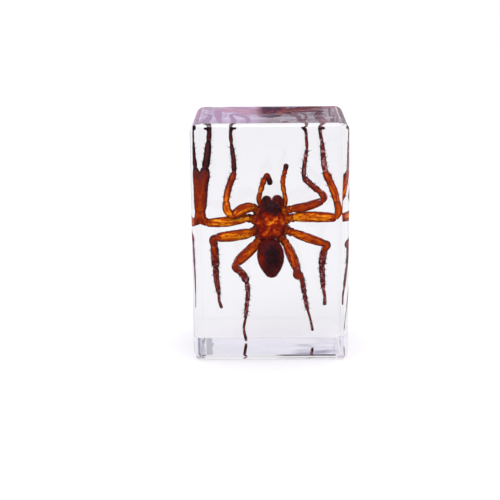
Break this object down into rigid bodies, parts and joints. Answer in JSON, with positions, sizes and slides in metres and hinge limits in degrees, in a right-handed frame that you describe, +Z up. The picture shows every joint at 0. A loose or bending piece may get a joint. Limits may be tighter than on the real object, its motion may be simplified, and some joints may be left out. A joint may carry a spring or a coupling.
{
  "type": "spider in resin block",
  "caption": "Clear cast-resin block with rounded edges, one of them bevelled, that stands on its short end and holds a dried spider sealed inside, legs spread, seen from its back.",
  "frame": {"origin": "middle of the underside, on the plane the block stands on", "axes": "+Z up along the block's height, +X along its width, and the broad front face, which the spider's back faces, looks towards -Y"},
  "size_m": [0.028, 0.021, 0.0432],
  "materials": {
    "clear_resin": "polished, clear with a faint lavender cast",
    "amber_cuticle": "dried cuticle of the spider's legs and carapace, translucent amber-brown with dark specks",
    "dark_cuticle": "dried cuticle of the spider's jaws, abdomen and leg ends, blackish red-brown",
    "bristles": "the spider's spines and hairs, dark brown"
  },
  "bodies": {
    "root": {"resin_block": "clear_resin"}
  },
  "joints": []
}
